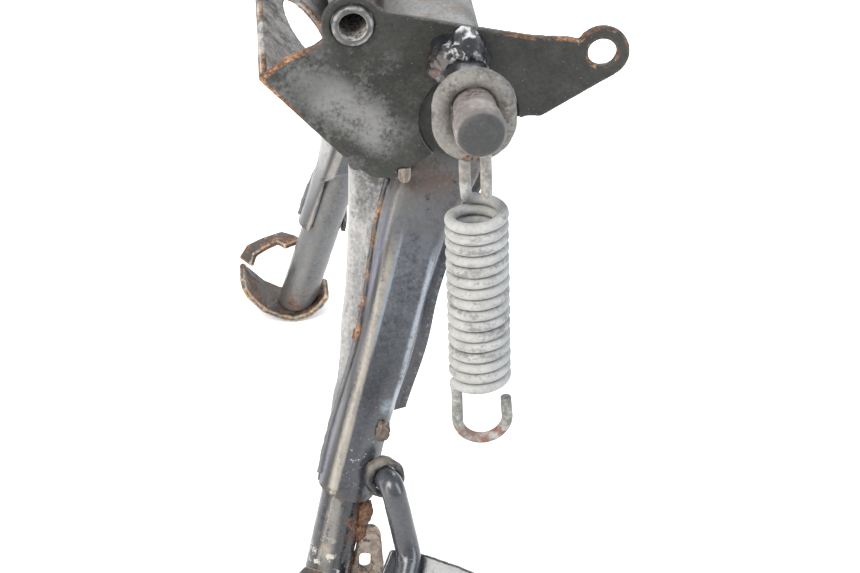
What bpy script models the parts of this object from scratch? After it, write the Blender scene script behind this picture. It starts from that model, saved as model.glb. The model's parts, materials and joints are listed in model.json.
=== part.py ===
"""Motorcycle centre stand: a pressed bracket, a folding two-legged stand and its hanging return spring.

Frame: +X to the rear of the vehicle, +Y to its right, +Z up. The origin is on the axis of the
front frame bolt, midway between the bracket's side plates. Most places are given from the pivot,
in millimetres, and scaled by MM.
"""

import math

import bmesh
import bpy
from mathutils import Matrix, Vector

MM = 0.001
GAP = 0.3  # left between pieces that touch

# Axes, from the front frame bolt in X and Z, and between the axes of the moving bodies
PIVOT = (44.0, 0.0, -43.0)
POST = (-1.8, 24.8)  # spring post, from the pivot, X and Z
RING_Y = -136.0  # plane in which the link ring and the spring hang

# Bracket
PLATE_T = 3.2
PLATE_Y = 95.0  # outer face of a side plate
RECESS_DEPTH = 2.4
RECESS_R = 20.0
LOBE_R = 19.4
FRONT_EAR = (-44.0, 43.0, 12.0)  # X, Z, radius
REAR_EYE = (53.0, 24.7, 10.8)
EAR_HOLE_R = 8.5
EYE_HOLE_R = 5.7
WEB_HOLE = (30.0, 15.0, 26.0)  # place down the web, half height, half width

# Pivot, from the bolt outwards
BOLT_R = 5.0
SLEEVE_RI, SLEEVE_RO = 5.3, 7.0
BUSH_RI, BUSH_RO = 7.3, 8.7
PIVOT_TUBE_RI, PIVOT_TUBE_RO = 9.0, 10.5
SHELL_Y = 88.0  # outer face of a leg shell at the pivot
BUSH_L = 18.0

# Spring post, link ring and spring
NECK_R = 8.2
POST_L = 67.0
HEAD_R, HEAD_L = 9.7, 10.0
RING_WIRE_R = 3.6
RING_HALF_W, RING_HALF_H = 12.4, 15.5  # of the wire's centre line
WIRE_R = 2.25
COIL_R = 10.25
COIL_PITCH = 4.8
COIL_TOP = -19.0
COIL_TURNS = 15.75
COIL_STEPS = 14  # points a turn
HOOK_R = RING_WIRE_R + WIRE_R + 1.1
HOOK_TURN = math.radians(-60)  # the upper hook's plane, seen from above

# Legs
SHEET = 2.0
CHANNEL_T = 2.5
SPLAY = 0.31  # outward over downward
LEAN = 0.29  # forward over downward
SPLAY_Z = -28.0
SLEEVE_R = 12.3
SLEEVE_Z = -156.0
SLEEVE_X = -57.5
SLEEVE_CUT = 0.3  # how far the shells' lower ends drop from front to rear
LEG_TUBE_R, LEG_TUBE_WALL = 9.5, 2.0
LEG_TUBE_Z = (-131.5, -212.0)
LIP_W = 5.0
LIP_END_Z = -126.0
# Height, front of the inner shell, ridge of the outer shell, its rear corner
LEG_STATIONS = (
    (15.0, -15.0, -13.0, 5.0),
    (10.0, -23.0, -21.0, 8.0),
    (0.0, -27.5, -25.5, 9.0),
    (-14.0, -28.5, -26.5, 8.5),
    (-27.2, -29.5, -27.5, 6.5),
    (-28.6, -47.5, -31.0, 6.0),
    (-50.0, -49.0, -38.0, -9.0),
    (-80.0, -52.2, -44.5, -21.0),
    (-104.0, -57.6, -51.0, -27.0),
    (-126.0, -63.4, -57.3, -34.3),
    (-127.5, -63.7, -57.8, -34.9),
    (-140.0, -66.5, -62.0, -40.0),
    (-156.0, -69.7, -66.0, -45.3),
)
BLEND_Z = (-88.0, -142.0)  # where a leg's section turns from a channel to a round
OPEN_Z = (-113.0, -121.0)  # where the inner shell opens on the tube
LEG_DEPTH = 24.8  # from a leg's outer face to its inner face

# Foot plate: X, Z, inner and outer edge, from rear to front
FOOT_T = 3.0
FOOT_STATIONS = (
    (-56.5, -202.0, 122.0, 141.0),
    (-60.6, -206.7, 120.0, 146.0),
    (-66.5, -210.8, 118.5, 148.0),
    (-75.0, -212.6, 118.0, 149.0),
    (-82.0, -210.4, 118.0, 149.0),
    (-90.0, -206.0, 118.0, 149.0),
    (-97.0, -198.0, 119.0, 148.5),
    (-99.6, -193.5, 121.0, 146.0),
    (-100.3, -190.0, 125.0, 142.0),
)
FOOT_DROP = {-1: 8.0, 1: 0.0}  # how far a foot's front is bent down, by side

# Lever
LEVER_R = 5.1
LEVER_BOSS = (-42.0, -146.5)  # X and Z


def smoothstep(low, high, value):
    part = min(1.0, max(0.0, (value - low) / (high - low)))
    return part * part * (3.0 - 2.0 * part)


def table(height, column):
    """A value of LEG_STATIONS at a height, read between its rows."""
    for upper, lower in zip(LEG_STATIONS, LEG_STATIONS[1:]):
        if height >= lower[0]:
            part = (upper[0] - height) / (upper[0] - lower[0])
            return upper[column] + (lower[column] - upper[column]) * max(0.0, part)
    return LEG_STATIONS[-1][column]


def shell_y(height):
    """Distance of a leg's outer face from the middle plane."""
    return SHELL_Y + SPLAY * max(0.0, SPLAY_Z - height)


def tube_axis(height, side):
    """Centre of a leg tube at a height."""
    drop = SLEEVE_Z - height
    return Vector((SLEEVE_X - LEAN * drop, side * (shell_y(height) - SLEEVE_R), height))


def arc(centre_x, centre_z, radius, start, end, steps):
    """Points of an arc in the XZ plane, angles in degrees."""
    points = []
    for step in range(steps + 1):
        angle = math.radians(start + (end - start) * step / steps)
        points.append((centre_x + radius * math.cos(angle), centre_z + radius * math.sin(angle)))
    return points


def offset(points, distance):
    """A line of XZ points moved to the left of its way by a distance."""
    points = [Vector(point) for point in points]
    moved = []
    for index, point in enumerate(points):
        before, after = points[max(index - 1, 0)], points[min(index + 1, len(points) - 1)]
        ways = [way.normalized() for way in (point - before, after - point) if way.length > 0]
        normals = [Vector((-way.y, way.x)) for way in ways]
        mitre = sum(normals, Vector((0.0, 0.0))).normalized()
        moved.append(tuple(point + mitre * distance / mitre.dot(normals[0])))
    return moved


# Scene, materials and placing


def clear_scene():
    for obj in list(bpy.data.objects):
        bpy.data.objects.remove(obj, do_unlink=True)


def new_collection(name):
    collection = bpy.data.collections.new(name)
    bpy.context.scene.collection.children.link(collection)
    return collection


def paint(name, colour, roughness, metallic):
    material = bpy.data.materials.new(name)
    material.use_nodes = True
    shader = material.node_tree.nodes["Principled BSDF"]
    shader.inputs["Base Color"].default_value = (*colour, 1.0)
    shader.inputs["Roughness"].default_value = roughness
    shader.inputs["Metallic"].default_value = metallic
    return material


FINISHES = {
    "black": ((0.045, 0.047, 0.05), 0.32, 0.0),
    "steel": ((0.34, 0.33, 0.31), 0.45, 0.9),
    "zinc": ((0.52, 0.51, 0.48), 0.42, 0.85),
    "rusty": ((0.24, 0.13, 0.07), 0.85, 0.1),
    "bronze": ((0.45, 0.32, 0.16), 0.5, 0.8),
}


def empty(name, parent, place):
    axis = bpy.data.objects.new(name, None)
    axis.empty_display_size = 20 * MM
    axis.location = Vector(place) * MM
    axis.parent = parent
    PARTS.objects.link(axis)
    return axis


def add(mesh, name, parent, finish, smooth=True):
    """Makes a mesh in millimetres into a named piece on its body."""
    mesh.transform(Matrix.Scale(MM, 4))
    if smooth:
        mesh.shade_smooth()
        mesh.set_sharp_from_angle(angle=math.radians(35))
    piece = bpy.data.objects.new(name, mesh)
    piece.parent = parent
    mesh.materials.append(paint(name, *FINISHES[finish]))
    PARTS.objects.link(piece)
    return piece


def cut(piece, cutter_mesh, operation="DIFFERENCE"):
    """Adds a Boolean of a helper mesh, given in millimetres on the same body."""
    cutter_mesh.transform(Matrix.Scale(MM, 4))
    cutter = bpy.data.objects.new(piece.name + "_cutter", cutter_mesh)
    cutter.parent = piece.parent
    cutter.hide_render = True
    cutter.display_type = "WIRE"
    CUTTERS.objects.link(cutter)
    boolean = piece.modifiers.new(operation.lower(), "BOOLEAN")
    boolean.operation = operation
    boolean.object = cutter
    return cutter


def bevel(piece, width, segments=1):
    edge = piece.modifiers.new("edges", "BEVEL")
    edge.width = width * MM
    edge.segments = segments
    edge.limit_method = "ANGLE"
    edge.angle_limit = math.radians(50)


def thicken(piece, thickness, offset=-1.0):
    sheet = piece.modifiers.new("sheet", "SOLIDIFY")
    sheet.thickness = thickness * MM
    sheet.offset = offset
    sheet.use_even_offset = True


# Meshes, in millimetres


def mesh_from(name, build):
    """A mesh whose faces build() makes in a new bmesh, turned to point out."""
    mesh = bpy.data.meshes.new(name)
    work = bmesh.new()
    build(work)
    bmesh.ops.recalc_face_normals(work, faces=work.faces)
    work.to_mesh(mesh)
    work.free()
    return mesh


def prism(name, outline, low_y, high_y):
    """An XZ outline, extruded from low_y to high_y."""

    def build(work):
        base = work.faces.new([work.verts.new((x, low_y, z)) for x, z in outline])
        made = bmesh.ops.extrude_face_region(work, geom=[base])["geom"]
        top = [item for item in made if isinstance(item, bmesh.types.BMVert)]
        bmesh.ops.translate(work, verts=top, vec=(0.0, high_y - low_y, 0.0))

    return mesh_from(name, build)


def turned(name, profile, steps, matrix=None):
    """A profile of (radius, height) pairs spun about Y: closed on the axis, or else back to its start."""

    def build(work):
        points = [work.verts.new((radius, height, 0.0)) for radius, height in profile]
        pairs = list(zip(points, points[1:]))
        if profile[0][0] > 0:
            pairs.append((points[-1], points[0]))
        edges = [work.edges.new(pair) for pair in pairs]
        turn = {"cent": (0, 0, 0), "axis": (0, 1, 0), "angle": 2 * math.pi, "steps": steps}
        bmesh.ops.spin(work, geom=points + edges, use_merge=True, **turn)
        bmesh.ops.remove_doubles(work, verts=work.verts, dist=0.001)

    mesh = mesh_from(name, build)
    if matrix:
        mesh.transform(matrix)
    return mesh


def cylinder(name, radius, low_y, high_y, x=0.0, z=0.0, steps=32):
    """A primitive cylinder laid along Y."""

    def build(work):
        ends = {"radius1": radius, "radius2": radius, "depth": high_y - low_y}
        bmesh.ops.create_cone(work, cap_ends=True, segments=steps, **ends)
        laid = Matrix.Rotation(math.radians(90), 4, "X")
        middle = Matrix.Translation((x, (low_y + high_y) / 2, z))
        bmesh.ops.transform(work, matrix=middle @ laid, verts=work.verts)

    return mesh_from(name, build)


def ring_of(name, inner, outer, low_y, high_y, x=0.0, z=0.0, steps=32):
    profile = [(inner, low_y), (outer, low_y), (outer, high_y), (inner, high_y)]
    return turned(name, profile, steps, Matrix.Translation((x, 0.0, z)))


def hexagon(name, across, low_y, high_y):
    return cylinder(name, across / math.sqrt(3), low_y, high_y, steps=6)


def surface(name, rows):
    """An open surface through rows of points."""

    def build(work):
        grid = [[work.verts.new(point) for point in row] for row in rows]
        for upper, lower in zip(grid, grid[1:]):
            for left in range(len(upper) - 1):
                work.faces.new((upper[left], upper[left + 1], lower[left + 1], lower[left]))

    return mesh_from(name, build)


def tube_along(name, points, radius, parent, finish, cyclic=False, resolution=2):
    """A round wire or rod along points, made a closed mesh."""
    curve = bpy.data.curves.new(name, "CURVE")
    curve.dimensions = "3D"
    curve.bevel_depth = radius
    curve.bevel_resolution = resolution
    curve.use_fill_caps = not cyclic
    line = curve.splines.new("POLY")
    line.points.add(len(points) - 1)
    for point, place in zip(line.points, points):
        point.co = (*place, 1.0)
    line.use_cyclic_u = cyclic
    guide = bpy.data.objects.new(name + "_line", curve)
    bpy.context.scene.collection.objects.link(guide)
    bpy.context.view_layer.update()
    evaluated = guide.evaluated_get(bpy.context.evaluated_depsgraph_get())
    mesh = bpy.data.meshes.new_from_object(evaluated)
    mesh.materials.clear()
    bpy.data.objects.remove(guide, do_unlink=True)
    work = bmesh.new()
    work.from_mesh(mesh)
    bmesh.ops.remove_doubles(work, verts=work.verts, dist=0.001)
    bmesh.ops.recalc_face_normals(work, faces=work.faces)
    work.to_mesh(mesh)
    work.free()
    return add(mesh, name, parent, finish)


def rounded_path(corners, radius, steps=5):
    """The corners of a path, each but the ends replaced by a short bend that starts this far from it."""
    corners = [Vector(corner) for corner in corners]
    path = [corners[0]]
    for before, corner, after in zip(corners, corners[1:], corners[2:]):
        reach = min(radius, 0.45 * (before - corner).length, 0.45 * (after - corner).length)
        start = corner + (before - corner).normalized() * reach
        end = corner + (after - corner).normalized() * reach
        for step in range(steps + 1):
            t = step / steps
            path.append(start * (1 - t) ** 2 + corner * 2 * t * (1 - t) + end * t**2)
    path.append(corners[-1])
    return path


def strip(name, centres, width, thickness, parent, finish):
    """A flat bar bent along its centre points, its width level."""
    centres = [Vector(centre) for centre in centres]
    rows = []
    for index, centre in enumerate(centres):
        along = centres[min(index + 1, len(centres) - 1)] - centres[max(index - 1, 0)]
        across = along.cross(Vector((0.0, 0.0, 1.0))).normalized() * width / 2
        rows.append((centre - across, centre + across))
    piece = add(surface(name, rows), name, parent, finish)
    thicken(piece, thickness, 0.0)
    return piece


# The bracket


def plate_outline():
    """The side plate's outline, from its front corner round by the lower edge, from the pivot."""
    ear_x, ear_z, ear_r = FRONT_EAR
    eye_x, eye_z, eye_r = REAR_EYE
    outline = [(-81.5, 22.5), (-50.0, -13.5), (-39.5, -23.2), (-29.5, -24.6)]
    outline += [(-29.0, -19.6), (-24.0, -19.9)]
    outline += arc(0, 0, LOBE_R, 226, 355, 12)
    outline += [(22.5, -0.6), (28.8, -0.9)]
    outline += arc(eye_x, eye_z, eye_r, -62, 148, 14)
    outline += [(40.0, 31.6), (24.5, 33.5), (1.2, 39.0), (-14.0, 43.0), (-30.5, 47.0)]
    outline += arc(ear_x, ear_z, ear_r, 32, 205, 12)
    outline += [(-59.0, 35.0), (-70.7, 30.3)]
    return outline


def pocket_outline():
    """All that lies behind the folded web, its edge running down the web's inner face."""
    edge = [Vector(point) for point in offset(plate_outline()[:4], PLATE_T)]
    above = edge[0] + (edge[0] - edge[1]).normalized() * 20
    end = edge[-1].x - 0.5
    edge[-1].x = end
    return [(above.x, 90), tuple(above), *map(tuple, edge[1:]), (end, -60), (90, -60), (90, 90)]


def make_bracket():
    """A channel: its outline across the full width, less the pocket between the side plates."""
    solid = prism("bracket", plate_outline(), -PLATE_Y, PLATE_Y)
    bracket = add(solid, "bracket", BODIES["bracket"], "black")
    inside = PLATE_Y - PLATE_T
    pocket = cut(bracket, prism("pocket", pocket_outline(), -inside, inside))
    for side in (-1, 1):
        recess = sorted((side * (PLATE_Y - RECESS_DEPTH), side * (PLATE_Y + 1)))
        cut(bracket, cylinder("recess", RECESS_R, *recess))
        disc = sorted((side * (inside - RECESS_DEPTH), side * PLATE_Y))
        cut(pocket, cylinder("disc", RECESS_R + PLATE_T, *disc))
    ear_x, ear_z, _ = FRONT_EAR
    eye_x, eye_z, _ = REAR_EYE
    reach = PLATE_Y + 5
    cut(bracket, cylinder("ear_hole", EAR_HOLE_R, -reach, reach, ear_x, ear_z))
    cut(bracket, cylinder("eye_hole", EYE_HOLE_R, -reach, reach, eye_x, eye_z))
    cut(bracket, cylinder("pivot_hole", SLEEVE_RI, -reach, reach))
    cut(bracket, web_hole())


def web_hole():
    """The oval lightening hole, square to the web."""
    place, half_high, half_wide = WEB_HOLE
    top, bend = [Vector(point) for point in plate_outline()[:2]]
    along = (bend - top).normalized()
    centre = top + along * place
    oval = turned("oval", [(0, -12), (1, -12), (1, 12), (0, 12)], 32)
    down = Vector((along.x, 0.0, along.y))
    through = Vector((along.y, 0.0, -along.x))
    frame = Matrix((down * half_high, through, Vector((0.0, half_wide, 0.0)))).transposed()
    oval.transform(Matrix.Translation((centre.x, 0.0, centre.y)) @ frame.to_4x4())
    return oval


def make_bracket_fittings():
    body = BODIES["bracket"]
    ear_x, ear_z, _ = FRONT_EAR
    add(ring_of("front_spacer", 5.5, 8.1, -97, 97, ear_x, ear_z), "front_spacer", body, "black")
    post_x, post_z = POST
    base = -PLATE_Y - GAP
    tip = -PLATE_Y - POST_L
    profile = [(0, base), (NECK_R, base), (NECK_R, tip + HEAD_L + 7), (HEAD_R, tip + HEAD_L)]
    profile += [(HEAD_R, tip + 3), (HEAD_R - 2, tip), (0, tip)]
    at_post = Matrix.Translation((post_x, 0.0, post_z))
    add(turned("spring_post", profile, 28, at_post), "spring_post", body, "steel")
    inner = NECK_R + GAP
    bead = [(inner, base), (14.0, base), (13.4, base - 5.0), (11.5, base - 9.0), (inner, base - 11.5)]
    add(turned("post_weld", bead, 28, at_post), "post_weld", body, "black")


def make_pivot():
    body = BODIES["bracket"]
    plate = PLATE_Y - RECESS_DEPTH
    inside = plate - PLATE_T - GAP
    bolt = add(hexagon("pivot_bolt", 17.0, -plate - 8.6, -plate - 2.1), "pivot_bolt", body, "zinc")
    cut(bolt, cylinder("shank", BOLT_R, -plate - 3, plate + 14), "UNION")
    bevel(bolt, 0.5)
    nut = add(hexagon("pivot_nut", 17.0, plate + 2.1, plate + 10.1), "pivot_nut", body, "zinc")
    cut(nut, cylinder("thread", BOLT_R + GAP, plate, plate + 15))
    bevel(nut, 0.4)
    for name, side in (("bolt_washer", -1), ("nut_washer", 1)):
        faces = (side * (plate + GAP), side * (plate + 1.8))
        add(ring_of(name, SLEEVE_RI, 10.5, *faces), name, body, "zinc")
    add(ring_of("pivot_sleeve", SLEEVE_RI, SLEEVE_RO, -inside, inside), "pivot_sleeve", body, "steel")


# The folding stand


def outer_section(height, side):
    """The outer shell's section: rear lip, rear wall, outer face and front wall."""
    face = shell_y(height)
    ridge, rear = table(height, 2), table(height, 3)
    lip = 0.3 + LIP_W * smoothstep(-22.0, -40.0, height) if height >= LIP_END_Z else 0.0
    box = [(rear + 0.5, face - 8), (rear, face - 5.5)]
    box += [(rear - 0.8, face - 2), (rear - 3.2, face), (ridge * 0.5 + rear * 0.5, face)]
    box += [(ridge + 4.5, face), (ridge + 1.6, face - 0.5), (ridge + 0.3, face - 2)]
    box += [(ridge, face - 4.5), (ridge, face - 9)]
    cut_back = 38 * smoothstep(-128.0, -134.0, height) * smoothstep(-158.0, -144.0, height)
    row = blend(box, height, side, cut_back - 8.0, 165.0)
    edge, following = Vector(row[0]), Vector(row[1])
    return [edge + (Vector((lip, 0, 0)) if lip else (edge - following) * 0.2), *row]


def inner_section(height, side):
    """The inner shell's section: sloping front, inner face and rear wall, and lower down the front alone."""
    face = shell_y(height)
    front, ridge, rear = (table(height, column) for column in (1, 2, 3))
    turn = min(3.0, 0.35 * (ridge - front))
    box = [(ridge - 0.5, face - 10), (front + turn, face - 11.5), (front + 0.2 * turn, face - 13.2)]
    box += [(front, face - 15.5), (front, face - 20), (front + 1.4, face - 22.8)]
    inboard = face - LEG_DEPTH
    wall = [(front + 4.5, inboard), (rear - 9, inboard), (rear - 5.2, inboard + 1.5)]
    wall += [(rear - 4, face - 19.5), (rear - 4, face - 11)]
    opened = smoothstep(*OPEN_Z, height)
    for index, (x, y) in enumerate(wall):
        end = Vector(box[5]) + Vector((0.7, -0.5)) * (index + 1)
        box.append(tuple(Vector((x, y)).lerp(end, opened)))
    return blend(box, height, side, 172.0, 335.0 - 105.0 * opened)


def blend(box, height, side, start, end):
    """A channel section, turning to an arc round the leg tube further down.

    A level cut through the slanting tube is an ellipse, so the arc is stretched along the slant.
    """
    centre = tube_axis(height, 1)
    slant = Vector((-LEAN, SPLAY, 0.0))
    stretch = math.hypot(1, slant.length)
    slant.normalize()
    share = smoothstep(*BLEND_Z, height)
    row = []
    for index, (x, y) in enumerate(box):
        angle = math.radians(start + (end - start) * index / (len(box) - 1))
        spoke = Vector((math.cos(angle), math.sin(angle), 0.0)) * SLEEVE_R
        spoke += slant * spoke.dot(slant) * (stretch - 1)
        spot = Vector((x, y, height)).lerp(centre + spoke, share)
        drop = SLEEVE_CUT * (spot.x - centre.x) * smoothstep(-120.0, SLEEVE_Z, height)
        spot += Vector((-LEAN, SPLAY, -1.0)) * drop
        row.append((spot.x, side * spot.y, spot.z))
    return row


def leg_heights():
    """The stations' heights and those between them where the section changes fast, from the top down."""
    between = [-37.0, -65.0, -92.0, -112.0, -116.0, -119.0, -132.0, -148.0]
    return sorted([station[0] for station in LEG_STATIONS] + between, reverse=True)


def make_leg(side, name):
    body = BODIES["stand"]
    for kind, section in (("outer_shell", outer_section), ("inner_shell", inner_section)):
        rows = [section(height, side) for height in leg_heights()]
        if side < 0:
            rows = [row[::-1] for row in rows]
        label = kind + "_" + name
        shell = add(surface(label, rows), label, body, "black")
        thicken(shell, SHEET)
        reach = (side * 50, side * (SHELL_Y + 4))
        cut(shell, cylinder("tube_hole", PIVOT_TUBE_RO + GAP, min(reach), max(reach)))
    make_leg_tube(side, name)
    make_foot(side, name)
    make_stop(side, name)
    washer_faces = sorted((side * (SHELL_Y + GAP), side * (SHELL_Y + 1.1)))
    washer = "thrust_washer_" + name
    add(ring_of(washer, BUSH_RI, 12.0, *washer_faces), washer, body, "steel")
    bush_faces = sorted((side * (SHELL_Y - 0.6), side * (SHELL_Y - BUSH_L)))
    bush = "pivot_bush_" + name
    add(ring_of(bush, BUSH_RI, BUSH_RO, *bush_faces), bush, body, "bronze")


def make_leg_tube(side, name):
    top, bottom = (tube_axis(height, side) for height in LEG_TUBE_Z)
    length = (bottom - top).length
    inner = LEG_TUBE_R - LEG_TUBE_WALL
    profile = [(inner, 0), (LEG_TUBE_R, 0), (LEG_TUBE_R, length), (inner, length)]
    turn = Vector((0.0, 1.0, 0.0)).rotation_difference(bottom - top).to_matrix().to_4x4()
    label = "leg_tube_" + name
    tube = add(turned(label, profile, 28, Matrix.Translation(top) @ turn), label, BODIES["stand"], "black")
    floor = offset([(x, z) for x, z, _, _ in FOOT_STATIONS], -FOOT_T / 2 - GAP)
    ground = prism("ground", [*floor, (-120, -250), (-40, -250)], *sorted((side * 90, side * 170)))
    cut(tube, ground)


def make_foot(side, name):
    """The curved ground plate and the strap that ties its front to the tube."""
    body = BODIES["stand"]
    rows = []
    drop = FOOT_DROP[side]
    for x, z, inner, outer in FOOT_STATIONS:
        steps = [inner + (outer - inner) * step / 4 for step in range(5)]
        level = z - drop * smoothstep(-82.0, -101.0, x)
        rows.append([(x, side * y, level) for y in steps])
    plate = add(surface("foot_plate_" + name, rows), "foot_plate_" + name, body, "rusty")
    thicken(plate, FOOT_T, 0.0)
    bevel(plate, 0.7)
    centres = ((-98.0, 141.0, -189.0), (-94.6, 143.2, -183.4), (-87.5, 144.6, -180.6))
    centres += ((-79.5, 144.0, -177.6), (-75.5, 140.0, -177.0), (-72.6, 135.5, -177.0))
    strap = [(x, side * y, z - drop) for x, y, z in centres]
    piece = strip("foot_strap_" + name, strap, 11.0, 3.0, body, "rusty")
    bevel(piece, 0.6)


def make_stop(side, name):
    """The stub on a leg that meets the end of the bracket's lip when the stand is down."""
    outline = [(-28.7, -20.4), (-28.9, -23.6)] + arc(-26.3, -24.3, 2.5, 180, 360, 6) + [(-23.6, -20.4)]
    faces = sorted((side * (SHELL_Y + GAP), side * (PLATE_Y - 0.4)))
    label = "stop_stub_" + name
    add(prism(label, outline, *faces), label, BODIES["stand"], "rusty")


def make_stand():
    body = BODIES["stand"]
    end = SHELL_Y - 0.4
    tube = ring_of("pivot_tube", PIVOT_TUBE_RI, PIVOT_TUBE_RO, -end, end)
    add(tube, "pivot_tube", body, "steel")
    saddle_r = PIVOT_TUBE_RO + CHANNEL_T + GAP
    section = [(-24.5, -18.0)] + arc(-16.5, saddle_r - 8.0, 8.0, 180, 90, 5)
    section += arc(0, 0, saddle_r, 90, -15, 8)
    width = SHELL_Y - LEG_DEPTH - GAP
    rows = [[(x, y, z) for x, z in section] for y in (-width, width)]
    channel = add(surface("cross_channel", rows), "cross_channel", body, "black")
    thicken(channel, CHANNEL_T)
    bevel(channel, 0.5)
    for side, name in ((-1, "left"), (1, "right")):
        make_leg(side, name)


def make_lever():
    """The rod, boss, tread and brace with which a rider's foot turns the stand, and the spring's lug."""
    body = BODIES["stand"]
    boss_x, boss_z = LEVER_BOSS
    face = shell_y(boss_z)
    start = Vector((boss_x, -face - 0.6, boss_z))
    tilt = Matrix.Rotation(math.radians(-18), 4, "X") @ Matrix.Rotation(math.radians(14), 4, "Z")
    boss_profile = [(LEVER_R + GAP, 2.5), (8.3, 2.5), (8.3, -3.2), (7.4, -4.6), (LEVER_R + GAP, -4.6)]
    boss = turned("lever_boss", boss_profile, 28, Matrix.Translation(start) @ tilt)
    add(boss, "lever_boss", body, "rusty")
    direction = tilt.to_3x3() @ Vector((0.0, -1.0, 0.0))
    corners = (start + direction * 0.6, start + direction * 12.0)
    corners += (Vector((-34.8, -141.0, -168.3)), Vector((-33.6, -144.1, -175.4)))
    corners += (Vector((-37.4, -155.4, -184.4)),)
    tube_along("lever_rod", rounded_path(corners, 6.5), LEVER_R, body, "black", resolution=4)
    make_tread(body)
    lug_outline = arc(-50.0, -178.5, 6.0, 100, -10, 6) + arc(-50.2, -192.0, 6.4, 5, -110, 7)
    lug_outline += [(-59.2, -197.5), (-51.6, -172.0)]
    lug = add(prism("spring_lug", lug_outline, -127.0, -121.0), "spring_lug", body, "rusty")
    slot = arc(-51.4, -186.5, 2.5, 180, 0, 7) + arc(-51.6, -192.0, 2.5, 0, -180, 7)
    cut(lug, prism("lug_slot", slot, -130.0, -118.0))


def make_tread(body):
    """A dished foot plate, tilted up and outwards, and the bar that braces it to the leg."""
    centre = Vector((-25.4, -151.4, -189.9))
    along = Vector((0.876, -0.464, -0.129)).normalized()
    across = Vector((-0.25, -0.74, -0.60))
    across = (across - along * across.dot(along)).normalized()
    up = across.cross(along).normalized()
    if up.z < 0:
        up = -up
    rows = []
    for row in range(7):
        part = row / 3 - 1
        width = 15.0 - 3.5 * part**4
        level = 3.2 * part**4
        cells = [column / 3 - 1 for column in range(7)]
        middle = centre + along * 23 * part + up * level
        rows.append([middle + across * width * cell + up * 0.6 * cell**4 for cell in cells])
    tread = add(surface("lever_tread", rows), "lever_tread", body, "black")
    thicken(tread, 3.0)
    bevel(tread, 0.6)
    brace = ((-57.0, -132.5, -199.5), (-52.5, -136.0, -198.5), (-47.0, -141.5, -191.6))
    strip("tread_brace", brace, 10.0, 3.5, body, "black")


# The hanging spring


def make_ring():
    half = RING_HALF_H - RING_HALF_W
    drop = NECK_R + GAP + RING_WIRE_R - RING_HALF_H
    line = arc(0, drop + half, RING_HALF_W, 0, 180, 16) + arc(0, drop - half, RING_HALF_W, 180, 360, 16)
    points = [(x, 0.0, z) for x, z in line]
    tube_along("link_ring", points, RING_WIRE_R, BODIES["ring"], "steel", cyclic=True, resolution=3)


def spring_line():
    """The spring's wire, from the upper hook's cut end down to the lower hook's tip, from the ring's bar."""
    flat = Vector((math.cos(HOOK_TURN), math.sin(HOOK_TURN), 0.0))
    line = [flat * HOOK_R + Vector((0.0, 0.0, -16.0))]
    for step in range(13):
        angle = math.pi * step / 12
        line.append(flat * HOOK_R * math.cos(angle) + Vector((0.0, 0.0, HOOK_R * math.sin(angle))))
    top = COIL_TOP - BAR_Z
    line += [-flat * HOOK_R + Vector((0.0, 0.0, top + 8.5)), Vector((-3.2, 6.6, top + 4.2))]
    line += [Vector((-2.6, 8.9, top + 1.3))]
    steps = round(COIL_TURNS * COIL_STEPS)
    start = math.radians(88)
    for step in range(steps + 1):
        angle = start - 2 * math.pi * step / COIL_STEPS
        height = top - COIL_PITCH * step / COIL_STEPS
        line.append(Vector((COIL_R * math.cos(angle), COIL_R * math.sin(angle), height)))
    bottom = top - COIL_PITCH * COIL_TURNS
    line += [Vector((-10.0, 0.2, bottom - 2.6)), Vector((-9.5, 0.2, bottom - 6.5))]
    hook = arc(0.6, bottom - 19.0, 10.1, 180, 372, 16)
    line += [Vector((x, 0.2, z)) for x, z in hook]
    line.append(Vector((10.2, 0.2, bottom - 10.5)))
    return line


def make_spring():
    tube_along("stand_spring", spring_line(), WIRE_R, BODIES["spring"], "zinc")


BAR_Z = POST[1] + NECK_R + GAP + RING_WIRE_R - 2 * RING_HALF_H  # the ring's lower bar, from the pivot

clear_scene()
PARTS = new_collection("centre_stand")
CUTTERS = new_collection("cutters")
frame_origin = empty("frame_origin", None, (0.0, 0.0, 0.0))
BODIES = {"bracket": empty("bracket_axis", frame_origin, PIVOT)}
BODIES["stand"] = empty("stand_axis", frame_origin, PIVOT)
BODIES["ring"] = empty("ring_axis", BODIES["bracket"], (POST[0], RING_Y, POST[1]))
BODIES["spring"] = empty("spring_axis", BODIES["ring"], (0.0, 0.0, BAR_Z - POST[1]))

make_bracket()
make_bracket_fittings()
make_pivot()
make_stand()
make_lever()
make_ring()
make_spring()
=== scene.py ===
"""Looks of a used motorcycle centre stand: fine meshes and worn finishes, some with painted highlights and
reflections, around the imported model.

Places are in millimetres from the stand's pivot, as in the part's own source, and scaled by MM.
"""

import json
import math
from functools import reduce

import bmesh
import bpy
from mathutils import Matrix, Vector, noise


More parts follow.
